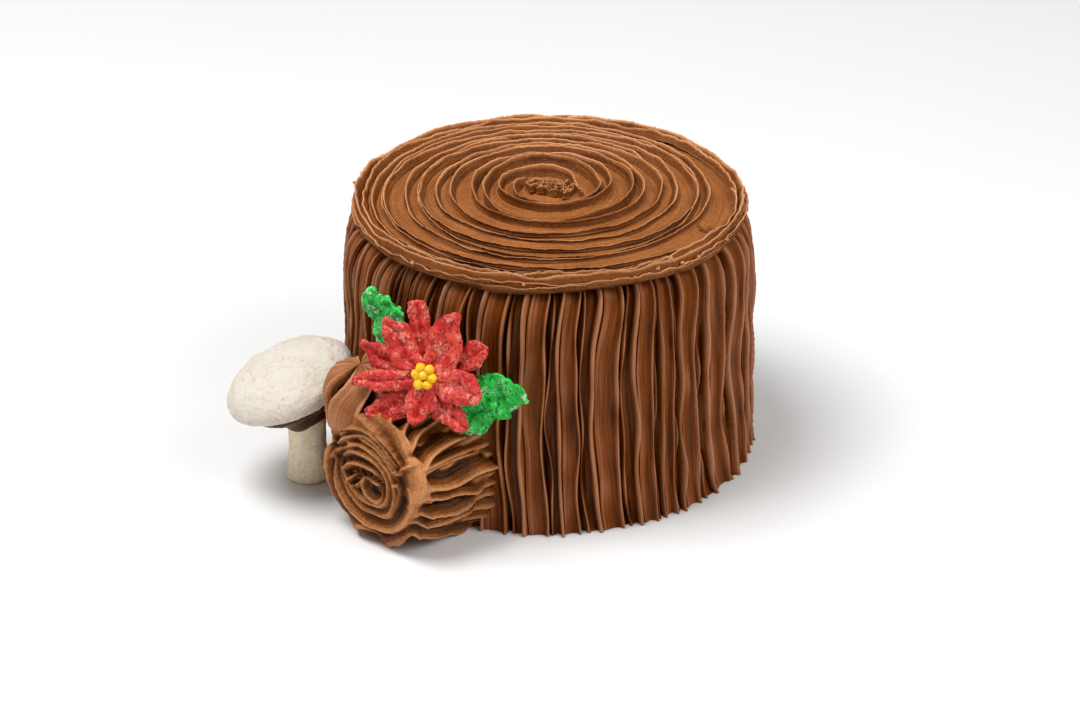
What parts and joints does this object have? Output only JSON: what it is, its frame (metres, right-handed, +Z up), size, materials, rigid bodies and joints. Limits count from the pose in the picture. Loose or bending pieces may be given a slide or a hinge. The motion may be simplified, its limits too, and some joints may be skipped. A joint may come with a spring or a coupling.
{
  "type": "yule log cake",
  "caption": "Round chocolate-frosted cake piped as an upright tree stump with a sawn branch, poinsettia, leaves and meringue mushroom.",
  "frame": {"origin": "centre of the stump's flat base, on the surface that the cake stands on", "axes": "+Z up, +X along the longest extent with the mushroom at -X, +Y towards the back; the branch points towards -X and -Y"},
  "size_m": [0.1953, 0.1774, 0.104],
  "materials": {
    "side_frosting": "glossy dark chocolate frosting, piped in upright strands",
    "top_frosting": "satin milk-chocolate frosting, one ribbon wound in a spiral",
    "branch_frosting": "satin milk-chocolate frosting in deep piped strokes",
    "meringue": "dry matt white meringue with faint beige flecks",
    "dark_chocolate": "set dark chocolate",
    "red_icing": "sugary coral red royal icing with dark red speckles",
    "green_icing": "sugary bright green royal icing with dark green speckles",
    "yellow_icing": "bright yellow royal icing dots"
  },
  "bodies": {
    "root": {"stump": "side_frosting", "top_spiral": "top_frosting", "branch": "branch_frosting", "branch_rosette": "branch_frosting", "curl": "branch_frosting", "mushroom_stem": "meringue", "mushroom_cap": "meringue", "mushroom_coat": "dark_chocolate", "leaf_upper": "green_icing", "leaf_right": "green_icing", "petal_lower_1": "red_icing", "petal_lower_2": "red_icing", "petal_lower_3": "red_icing", "petal_lower_4": "red_icing", "petal_lower_5": "red_icing", "petal_upper_1": "red_icing", "petal_upper_2": "red_icing", "petal_upper_3": "red_icing", "petal_upper_4": "red_icing", "petal_upper_5": "red_icing", "stamen_1": "yellow_icing", "stamen_2": "yellow_icing", "stamen_3": "yellow_icing", "stamen_4": "yellow_icing", "stamen_5": "yellow_icing", "stamen_6": "yellow_icing", "stamen_7": "yellow_icing"}
  },
  "joints": []
}
